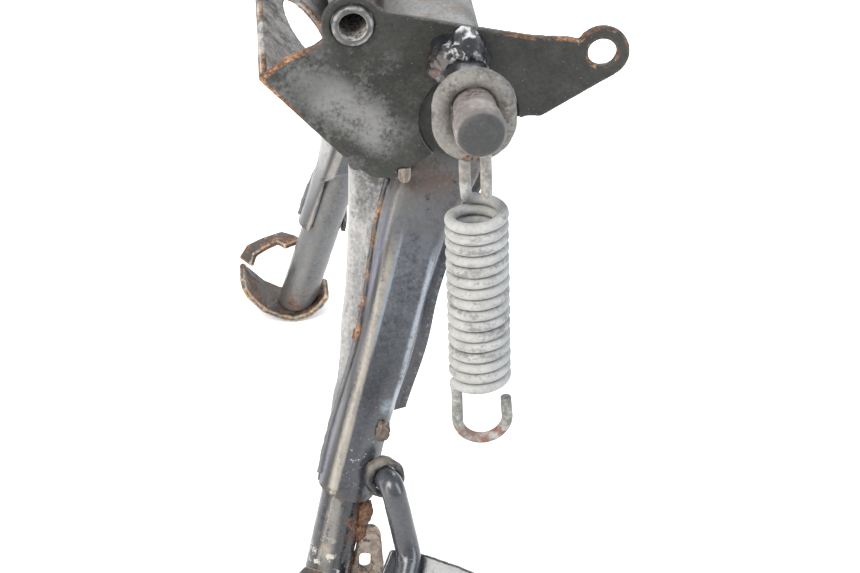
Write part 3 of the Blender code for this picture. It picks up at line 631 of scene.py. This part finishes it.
def boss_black():
    """The boss round the lever's root: black with pale brown dirt packed on its top."""
    look = Look("boss_black", (0.014, 0.014, 0.015), 0.34)
    look.layer(look.noise(9, 0.5, 0.75, 8, detail=12), (0.04, 0.037, 0.033), 0.7)
    top = look.both(look.along("Z", -143, -139.5), look.noise(6, 0.34, 0.58, 3, detail=12))
    look.layer(top, (0.15, 0.132, 0.11), 0.85, height=0.1)
    look.layer((look.edges(0.515, 0.55), look.noise(5, 0.45, 0.6, 6)), (0.08, 0.083, 0.087), 0.35)
    look.layer(look.noise(0.9, 0.7, 0.74, 5), (0.35, 0.33, 0.3), 0.8)
    return look.done((1, 0.06))


def plated_steel(name, colour, metallic=0.9):
    """Plated or bronze hardware, dull and a little dirty."""
    look = Look(name, colour, 0.32, metallic)
    look.layer(look.noise(3, 0.45, 0.65, detail=7), tuple(value * 0.5 for value in colour), 0.5)
    look.layer(look.noise(1.2, 0.6, 0.7, 3), (0.12, 0.09, 0.06), 0.8, 0.1)
    left_head = look.both(look.along("Y", -96, -97), look.noise(12, 0.1, 0.4, 4, detail=9))
    look.layer(left_head, (0.05, 0.045, 0.04), 0.7, 0)
    return look.done((0.7, 0.03))


# Mesh helpers


def smoothstep(low, high, value):
    part = min(1, max(0, (value - low) / (high - low)))
    return part * part * (3 - 2 * part)


def spoke_at(step, steps):
    """A spoke of a circle about Y, one of so many."""
    angle = 2 * math.pi * (step % steps) / steps
    return Vector((math.cos(angle), 0, math.sin(angle)))


def arc(centre_x, centre_z, radius, start, end, steps):
    """Points of an arc in the XZ plane, angles in degrees."""
    points = []
    for step in range(steps + 1):
        angle = math.radians(start + (end - start) * step / steps)
        points.append((centre_x + radius * math.cos(angle), centre_z + radius * math.sin(angle)))
    return points


def smooth_line(points, steps, closed=False):
    """A centripetal Catmull-Rom line through points."""
    points = [Vector(point) for point in points]
    count = len(points)
    if not closed:
        points = [points[0] * 2 - points[1], *points, points[-1] * 2 - points[-2]]
    else:
        points = [points[-1], *points, points[0], points[1]]
    line = []
    spans = count if closed else count - 1
    for index in range(spans):
        a, b, c, d = points[index : index + 4]
        knots = [0]
        for first, second in ((a, b), (b, c), (c, d)):
            knots.append(knots[-1] + max((second - first).length, 1e-6) ** 0.5)
        for step in range(steps):
            t = knots[1] + (knots[2] - knots[1]) * step / steps
            ab, bc, cd = (
                low.lerp(high, (t - knots[k]) / (knots[k + 1] - knots[k]))
                for k, (low, high) in enumerate(((a, b), (b, c), (c, d)))
            )
            abc = ab.lerp(bc, (t - knots[0]) / (knots[2] - knots[0]))
            bcd = bc.lerp(cd, (t - knots[1]) / (knots[3] - knots[1]))
            line.append(abc.lerp(bcd, (t - knots[1]) / (knots[2] - knots[1])))
    if not closed:
        line.append(points[-2].copy())
    return line


def rounded(corners, reach, steps=4):
    """Corners, each but the ends replaced by a short bend."""
    corners = [Vector(corner) for corner in corners]
    path = [corners[0]]
    for before, corner, after in zip(corners, corners[1:], corners[2:]):
        cut = min(reach, 0.45 * (before - corner).length, 0.45 * (after - corner).length)
        start = corner + (before - corner).normalized() * cut
        end = corner + (after - corner).normalized() * cut
        for step in range(steps + 1):
            t = step / steps
            path.append(start * (1 - t) ** 2 + corner * 2 * t * (1 - t) + end * t**2)
    path.append(corners[-1])
    return path


def as_mesh(work, name):
    """A bmesh made into a mesh."""
    mesh = bpy.data.meshes.new(name)
    work.to_mesh(mesh)
    work.free()
    return mesh


def grid_mesh(name, rows, around=False, capped=False, merge=0):
    """A mesh over rows of points; around joins each row's ends, and capped closes the first and last.

    Points closer than merge become one.
    """
    work = bmesh.new()
    grid = [[work.verts.new(point) for point in row] for row in rows]
    for upper, lower in zip(grid, grid[1:]):
        pairs = list(zip(range(len(upper)), range(1, len(upper))))
        if around:
            pairs.append((len(upper) - 1, 0))
        for left, right in pairs:
            work.faces.new((upper[left], upper[right], lower[right], lower[left]))
    if capped:
        work.faces.new(grid[0])
        work.faces.new(grid[-1])
    if merge:
        bmesh.ops.remove_doubles(work, verts=work.verts, dist=merge)
    bmesh.ops.recalc_face_normals(work, faces=work.faces)
    return as_mesh(work, name)


def turned(name, profile, steps=96, matrix=None, uneven=0, seed=0):
    """A profile of (radius, height) points turned about Y, its surface a little uneven."""
    rows = []
    for step in range(steps + 1):
        spoke = spoke_at(step, steps)
        rows.append([spoke * radius + Vector((0, height, 0)) for radius, height in profile])
    mesh = grid_mesh(name, rows, merge=1e-4)
    if matrix:
        mesh.transform(matrix)
    roughen(mesh, uneven, 5, seed)
    return mesh


def swept(name, line, radius, sides=20, closed=False, uneven=0, seed=0):
    """A round wire along a line, its thickness a little uneven."""
    line = [Vector(point) for point in line]
    count = len(line)
    rows = []
    side = None
    for index, point in enumerate(line):
        before = line[(index - 1) % count] if closed else line[max(index - 1, 0)]
        after = line[(index + 1) % count] if closed else line[min(index + 1, count - 1)]
        way = (after - before).normalized()
        if side is None:
            side = way.orthogonal()
        side = (side - way * side.dot(way)).normalized()
        other = way.cross(side)
        here = radius * (1 + uneven * noise.noise(point / 4 + Vector((seed, 0, 0))))
        angles = [2 * math.pi * step / sides for step in range(sides)]
        rows.append([point + (side * math.cos(a) + other * math.sin(a)) * here for a in angles])
    if closed:
        first = rows[0]
        nearest = min(range(sides), key=lambda k: (rows[-1][k] - first[0]).length)
        rows.append([first[(step - nearest) % sides] for step in range(sides)])
    else:
        for end, way in ((0, line[0] - line[1]), (-1, line[-1] - line[-2])):
            way = way.normalized()
            rims = []
            for inset, out in ((0.97, 0.1), (0.88, 0.22)):
                rims.append([line[end] + (p - line[end]) * inset + way * radius * out for p in rows[end]])
            rows = rims[::-1] + rows if end == 0 else rows + rims
    return grid_mesh(name, rows, around=True, capped=not closed, merge=1e-3 if closed else 0)


def roughen(mesh, height, size, seed=0):
    """Moves a mesh's points in and out by up to a height, in bumps of a size, all in its own units."""
    if not height:
        return
    shift = Vector((seed, -seed * 0.5, seed * 0.3))
    normals = [vertex.normal.copy() for vertex in mesh.vertices]
    for vertex, normal in zip(mesh.vertices, normals):
        vertex.co += normal * height * noise.fractal(vertex.co / size + shift, 1, 2, 3)
    mesh.update()


def applied(piece):
    """The piece's mesh with its modifiers in it, in millimetres from the pivot; the piece itself goes."""
    bpy.context.view_layer.update()
    evaluated = piece.evaluated_get(bpy.context.evaluated_depsgraph_get())
    mesh = bpy.data.meshes.new_from_object(evaluated)
    bpy.data.objects.remove(piece, do_unlink=True)
    mesh.transform(FROM_PIVOT.inverted())
    return mesh


def add(mesh, name, body, material, replaced=()):
    """Makes a mesh in millimetres from the pivot into a piece that rides on a body."""
    mesh.transform(FROM_PIVOT)
    mesh.shade_smooth()
    mesh.set_sharp_from_angle(angle=math.radians(50))
    mesh.materials.clear()
    mesh.materials.append(material)
    piece = linked(name, mesh)
    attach(piece, body)
    if replaced:
        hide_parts(*replaced)
    return piece


def stand_in(mesh, node, body, material):
    """A finer mesh in a node's place."""
    return add(mesh, node + "_fine", body, material, (node,))


def refined(node, body, material, voxel=0.6, rounds=4, uneven=0.05, size=8, extra=None):
    """A copy of a node's solid remade in small faces, its edges rounded and its surface a little uneven.

    An extra mesh, in millimetres from the pivot, is grown together with it.
    """
    work = bmesh.new()
    work.from_mesh(frame["nodes"][node].data)
    if extra:
        extra.transform(FROM_PIVOT)
        work.from_mesh(extra)
    piece = linked(node + "_fine", as_mesh(work, node))
    modify(piece, "REMESH", mode="VOXEL", voxel_size=voxel * MM)
    modify(piece, "SMOOTH", factor=0.5, iterations=rounds)
    mesh = applied(piece)
    roughen(mesh, uneven, size, len(node))
    return stand_in(mesh, node, body, material)


def lump(name, centre, radii, material, turn, seed, ripple=0.22):
    """A weld lump on the stand: a ball drawn out, flattened and made lumpy."""
    work = bmesh.new()
    bmesh.ops.create_icosphere(work, subdivisions=5, radius=1)
    shift = Vector((seed * 3.1, seed, -seed))
    for vertex in work.verts:
        way = vertex.co.copy()
        vertex.co = way * (1 + ripple * noise.fractal(way * 1.7 + shift, 0.9, 2, 3))
    mesh = as_mesh(work, name)
    mesh.transform(Matrix.Diagonal((*radii, 1)))
    mesh.transform(Matrix.Translation(centre) @ Matrix.Rotation(math.radians(turn), 4, "Y"))
    add(mesh, name, "stand", material)


# The bracket and its fittings


def make_bracket(looks):
    refined("bracket", "bracket", looks["bracket_paint"], 0.6, 5, 0.1, 14)
    ear_x, ear_z = FRONT_EAR
    at_ear = Matrix.Translation((ear_x, 0, ear_z))
    inner, outer, half = *SPACER_R, PLATE_Y + SPACER_OVER
    corners = [(inner, 0), (inner, -half), (outer, -half), (outer, half), (inner, half), (inner, 0)]
    spacer = turned("spacer", rounded(corners, 0.8), 96, at_ear, 0.08)
    stand_in(spacer, "front_spacer", "bracket", looks["spacer_black"])
    post_x, post_z = POST
    at_post = Matrix.Translation((post_x, 0, post_z))
    base, tip = -PLATE_Y - GAP, -PLATE_Y - POST_L
    corners = [(0, base), (NECK_R, base), (NECK_R, tip + HEAD_L + 7), (HEAD_R, tip + HEAD_L)]
    corners += [(HEAD_R, tip + 3), (HEAD_R - 2, tip + 0.4), (4, tip), (0, tip)]
    profile = rounded(corners, 2, 5)
    profile = [p for a, b in zip(profile, profile[1:]) for p in (a, a.lerp(b, 0.5))] + [profile[-1]]
    post = turned("post", profile, 128, at_post, 0.22, 3)
    stand_in(post, "spring_post", "bracket", looks["post_steel"])
    make_post_weld(looks, at_post, base)


def make_post_weld(looks, at_post, base):
    """Overlapping lumps of weld round the post's root, thickest above it and to its left."""
    inner = NECK_R + GAP
    rows = []
    steps = 160
    for step in range(steps):
        spoke = spoke_at(step, steps)
        uneven = noise.noise(spoke * 1.6 + Vector((2, 0, 5)))
        reach = 12.6 + 1.6 * spoke.z - 1.4 * spoke.x + 2.2 * uneven
        rise = 8 + 8.5 * max(0, spoke.z) + 2 * noise.noise(spoke * 2.1)
        curve = [(inner, base)]
        for part in range(17):
            bend = math.pi / 2 * part / 16
            bulge = math.sin(bend) ** 0.8
            curve.append((inner - 0.2 + (reach - inner) * math.cos(bend), base - rise * bulge))
        rows.append([spoke * radius + Vector((0, height, 0)) for radius, height in curve])
    rows.append(rows[0])
    mesh = grid_mesh("weld", rows, around=True, merge=1e-3)
    roughen(mesh, 1.1, 5, 2)
    mesh.transform(at_post)
    stand_in(mesh, "post_weld", "bracket", looks["weld_paint"])


# The legs


def table(height, column):
    """A value of LEG_STATIONS at a height, read between its rows."""
    for upper, lower in zip(LEG_STATIONS, LEG_STATIONS[1:]):
        if height >= lower[0]:
            part = (upper[0] - height) / (upper[0] - lower[0])
            return upper[column] + (lower[column] - upper[column]) * max(0, part)
    return LEG_STATIONS[-1][column]


def leg_value(height, column):
    """The same, with the bends between stretches softened."""
    if column == 1 and height > -36:
        return table(height, column)
    spread = (-6, -3, 0, 3, 6)
    return sum(table(max(height + shift, SLEEVE_Z), column) for shift in spread) / len(spread)


def shell_y(height):
    """Distance of a leg's outer face from the middle plane."""
    return SHELL_Y + SPLAY * max(0, SPLAY_Z - height)


def tube_axis(height, side):
    """Centre of a leg tube at a height."""
    drop = SLEEVE_Z - height
    return Vector((SLEEVE_X - LEAN * drop, side * (shell_y(height) - SLEEVE_R), height))


def outer_section(height, side):
    """The outer shell's section: rear lip, rear wall, outer face and front wall."""
    face = shell_y(height)
    ridge, rear = leg_value(height, 2), leg_value(height, 3)
    lip = 0.3 + LIP_W * smoothstep(-22, -40, height) if height >= LIP_END_Z else 0
    box = [(rear + 0.5, face - 8), (rear, face - 5.5)]
    box += [(rear - 0.8, face - 2), (rear - 3.2, face), ((ridge + rear + 6.8) / 2, face + 0.2)]
    box += [(ridge + 10, face), (ridge + 5.2, face - 0.7), (ridge + 1.9, face - 2.9)]
    box += [(ridge + 0.3, face - 6.2), (ridge, face - 10.4)]
    cut_back = 38 * smoothstep(-128, -134, height) * smoothstep(-158, -144, height)
    row = blend(box, height, side, cut_back - 8, 165)
    edge, following = Vector(row[0]), Vector(row[1])
    return [edge + (Vector((lip, 0, 0)) if lip else (edge - following) * 0.2), *row]


def inner_section(height, side):
    """The inner shell's section: sloping front, inner face and rear wall, and lower down the front alone."""
    face = shell_y(height)
    front, ridge, rear = (leg_value(height, column) for column in (1, 2, 3))
    turn = min(3, 0.35 * (ridge - front))
    box = [(ridge - 0.5, face - 10), (front + turn, face - 11.5), (front + 0.2 * turn, face - 13.2)]
    box += [(front, face - 15.5), (front, face - 20), (front + 1.4, face - 22.8)]
    inboard = face - LEG_DEPTH
    wall = [(front + 4.5, inboard), (rear - 9, inboard), (rear - 5.2, inboard + 1.5)]
    wall += [(rear - 4, face - 19.5), (rear - 4, face - 11)]
    opened = smoothstep(*OPEN_Z, height)
    for index, (x, y) in enumerate(wall):
        end = Vector(box[5]) + Vector((0.7, -0.5)) * (index + 1)
        box.append(tuple(Vector((x, y)).lerp(end, opened)))
    return blend(box, height, side, 172, 335 - 105 * opened)


def blend(box, height, side, start, end):
    """A channel section, turning to an arc round the leg tube further down."""
    centre = tube_axis(height, 1)
    slant = Vector((-LEAN, SPLAY, 0))
    stretch = math.hypot(1, slant.length)
    slant.normalize()
    share = smoothstep(*BLEND_Z, height)
    row = []
    for index, (x, y) in enumerate(box):
        angle = math.radians(start + (end - start) * index / (len(box) - 1))
        spoke = Vector((math.cos(angle), math.sin(angle), 0)) * SLEEVE_R
        spoke += slant * spoke.dot(slant) * (stretch - 1)
        spot = Vector((x, y, height)).lerp(centre + spoke, share)
        drop = SLEEVE_CUT * (spot.x - centre.x) * smoothstep(-120, SLEEVE_Z, height)
        spot += Vector((-LEAN, SPLAY, -1)) * drop
        row.append((spot.x, side * spot.y, spot.z))
    return row


def leg_heights():
    """Close steps down a leg, with a row on each side of its two sharp steps."""
    steps = {15 - 1.5 * step for step in range(115)} | {SLEEVE_Z, -27.2, -28.6, LIP_END_Z, -127.5}
    return sorted((height for height in steps if height >= SLEEVE_Z), reverse=True)


def make_shell(kind, section, side, name, looks):
    rows = [smooth_line(section(height, side), 4) for height in leg_heights()]
    mesh = grid_mesh(kind, rows if side > 0 else [row[::-1] for row in rows])
    mesh.transform(FROM_PIVOT)
    piece = linked(kind, mesh)
    modify(piece, "SOLIDIFY", thickness=SHEET * MM, offset=-1, use_even_offset=False)
    bore, inside, outside = PIVOT_TUBE_RO + GAP, 40, 100
    profile = [(0, inside), (bore, inside), (bore, outside), (0, outside)]
    hole = linked("hole", turned("hole", profile, 64))
    hole.data.transform(FROM_PIVOT @ Matrix.Diagonal((1, side, 1, 1)))
    if side < 0:
        hole.data.flip_normals()
    modify(piece, "BOOLEAN", object=hole, use_self=True)
    modify(piece, "BEVEL", width=0.35 * MM, segments=2, angle_limit=math.radians(60))
    mesh = applied(piece)
    bpy.data.objects.remove(hole, do_unlink=True)
    stand_in(mesh, f"{kind}_{name}", "stand", looks["leg_paint"])


def make_leg(side, name, looks):
    make_shell("outer_shell", outer_section, side, name, looks)
    make_shell("inner_shell", inner_section, side, name, looks)
    top, bottom = (tube_axis(height, side) for height in LEG_TUBE_Z)
    upper = swept("upper", (top, top.lerp(bottom, 0.3)), LEG_TUBE_R, 48)
    refined("leg_tube_" + name, "stand", looks["tube_paint"], 0.5, 4, 0.12, 7, upper)
    refined("foot_plate_" + name, "stand", looks["rusty_steel"], 0.5, 4, 0.2, 6)
    refined("foot_strap_" + name, "stand", looks["rusty_steel"], 0.45, 4, 0.2, 5)
    refined("stop_stub_" + name, "stand", looks["stub_steel"], 0.3, 6, 0.15, 3)
    line = []
    for height in range(-32, -154, -2):
        edges = (outer_section(height, side)[-1], inner_section(height, side)[0])
        line.append(Vector(edges[0]).lerp(Vector(edges[1]), 0.5))
    seam = swept("seam", smooth_line(line, 2), SEAM_R, 12, uneven=0.2, seed=side)
    roughen(seam, 0.25, 2.5, 4 + side)
    add(seam, "seam_weld_" + name, "stand", looks["seam_paint"])


# The lever and its neighbours


def make_lever(looks):
    boss_x, boss_z = LEVER_BOSS
    start = Vector((boss_x, -shell_y(boss_z) - 0.6, boss_z))
    tilt = Matrix.Rotation(math.radians(-18), 4, "X") @ Matrix.Rotation(math.radians(14), 4, "Z")
    bore, rim, back, front = LEVER_R + GAP, 8.3, 2.5, -4.6
    corners = [(bore, 0), (bore, back), (rim, back), (rim, front + 1.4), (rim - 0.9, front)]
    corners += [(bore, front), (bore, 0)]
    boss = turned("boss", rounded(corners, 0.9), 96, Matrix.Translation(start) @ tilt, 0.5, 5)
    stand_in(boss, "lever_boss", "stand", looks["boss_black"])
    direction = tilt.to_3x3() @ Vector((0, -1, 0))
    corners = (start + direction * 0.6, start + direction * 12)
    corners += (Vector((-34.8, -141, -168.3)), Vector((-33.6, -144.1, -175.4)))
    corners += (Vector((-37.4, -155.4, -184.4)),)
    line = smooth_line(rounded(corners, 6.5, 6), 5)
    rod = swept("rod", line, LEVER_R, 32, uneven=0.03)
    stand_in(rod, "lever_rod", "stand", looks["satin_black"])
    refined("lever_tread", "stand", looks["satin_black"], 0.45, 5, 0.15, 6)
    refined("tread_brace", "stand", looks["satin_black"], 0.45, 5, 0.15, 6)
    refined("spring_lug", "stand", looks["lug_steel"], 0.4, 5, 0.35, 4)
    brown = looks["brown_weld"]
    lump("weld_leg_edge", (-41.4, -117.4, -129.4), (3.4, 2.2, 4.8), brown, 20, 1, 0.3)
    lump("weld_tube_rear", (-50.5, -123, -166), (3.2, 3.6, 6.5), brown, 14, 4)
    lump("weld_lug_top", (-52.5, -124, -175), (3, 3.4, 5), brown, 10, 2)
    lump("weld_lug_low", (-58.5, -124.5, -190), (2.6, 3.2, 6), brown, 12, 3)


# The hanging spring


def make_ring(looks):
    half = RING_HALF_H - RING_HALF_W
    drop = NECK_R + GAP + RING_WIRE_R - RING_HALF_H
    line = arc(0, drop + half, RING_HALF_W, 0, 180, 16) + arc(0, drop - half, RING_HALF_W, 180, 360, 16)
    points = [(POST[0] + x, RING_Y, POST[1] + z) for x, z in line]
    ring = swept("ring", smooth_line(points, 6, closed=True), RING_WIRE_R, 28, True, 0.05, 4)
    roughen(ring, 0.16, 2.5, 3)
    stand_in(ring, "link_ring", "ring", looks["ring_steel"])


def spring_line():
    """The spring's wire, from the upper hook's cut end down to the lower hook's tip, from the ring's bar."""
    flat = Vector((math.cos(HOOK_TURN), math.sin(HOOK_TURN), 0))
    line = [flat * HOOK_R + Vector((0, 0, -16))]
    for step in range(13):
        angle = math.pi * step / 12
        line.append(flat * HOOK_R * math.cos(angle) + Vector((0, 0, HOOK_R * math.sin(angle))))
    top = COIL_TOP - BAR_Z
    line += [-flat * HOOK_R + Vector((0, 0, top + 8.5)), Vector((-3.2, 6.6, top + 4.2))]
    line += [Vector((-2.6, 8.9, top + 1.3))]
    steps = round(COIL_TURNS * COIL_STEPS)
    start = math.radians(88)
    for step in range(steps + 1):
        angle = start - 2 * math.pi * step / COIL_STEPS
        height = top - COIL_PITCH * step / COIL_STEPS
        line.append(Vector((COIL_R * math.cos(angle), COIL_R * math.sin(angle), height)))
    bottom = top - COIL_PITCH * COIL_TURNS
    line += [Vector((-10, 0.2, bottom - 2.6)), Vector((-9.5, 0.2, bottom - 6.5))]
    hook = arc(0.6, bottom - 19, 10.1, 180, 372, 16)
    line += [Vector((x, 0.2, z)) for x, z in hook]
    line.append(Vector((10.2, 0.2, bottom - 10.5)))
    return line


def make_spring(looks):
    bar = Vector((POST[0], RING_Y, BAR_Z))
    line = [bar + point for point in smooth_line(spring_line(), 3)]
    for index, point in enumerate(line):
        shake = noise.noise_vector(Vector((index / 23, 3, 7)))
        line[index] = point + shake * SPRING_SHAKE
    spring = swept("spring", line, WIRE_R, 18, uneven=0.02)
    roughen(spring, 0.07, 1.6, 6)
    stand_in(spring, "stand_spring", "spring", looks["spring_zinc"])


# Nodes that keep their own solids


def finish_hardware(looks):
    """New materials and eased edges for the turned and hexagonal fittings."""
    finishes = {"plated": ("pivot_bolt", "bolt_washer", "pivot_nut", "nut_washer")}
    finishes["bronze"] = ("pivot_bush_left", "pivot_bush_right")
    finishes["worn"] = ("pivot_sleeve", "pivot_tube", "thrust_washer_left", "thrust_washer_right")
    for look, nodes in finishes.items():
        for node in nodes:
            piece = frame["nodes"][node]
            for slot in piece.material_slots:
                slot.material = looks[look]
            modify(piece, "WELD", merge_threshold=0.01 * MM)
            limit = {"limit_method": "ANGLE", "angle_limit": math.radians(50)}
            modify(piece, "BEVEL", width=0.25 * MM, segments=2, **limit)


PLAIN = (bracket_paint, channel_paint, leg_paint, tube_paint, spacer_black, seam_paint, weld_paint)
PLAIN += (brown_weld, post_steel, ring_steel, spring_zinc, rusty_steel, lug_steel, stub_steel)
PLAIN += (satin_black, boss_black)
LOOKS = {make.__name__: make() for make in PLAIN}
LOOKS["plated"] = plated_steel("plated_steel", (0.42, 0.4, 0.36))
LOOKS["bronze"] = plated_steel("bush_bronze", (0.42, 0.27, 0.12))
LOOKS["worn"] = worn_steel("worn_steel", (0.3, 0.28, 0.26), 0.6, 0.55)

make_camera()
make_floor()
make_studio()
make_bracket(LOOKS)
refined("cross_channel", "stand", LOOKS["channel_paint"], 0.7, 5, 0.15, 12)
make_leg(-1, "left", LOOKS)
make_leg(1, "right", LOOKS)
make_lever(LOOKS)
make_ring(LOOKS)
make_spring(LOOKS)
finish_hardware(LOOKS)
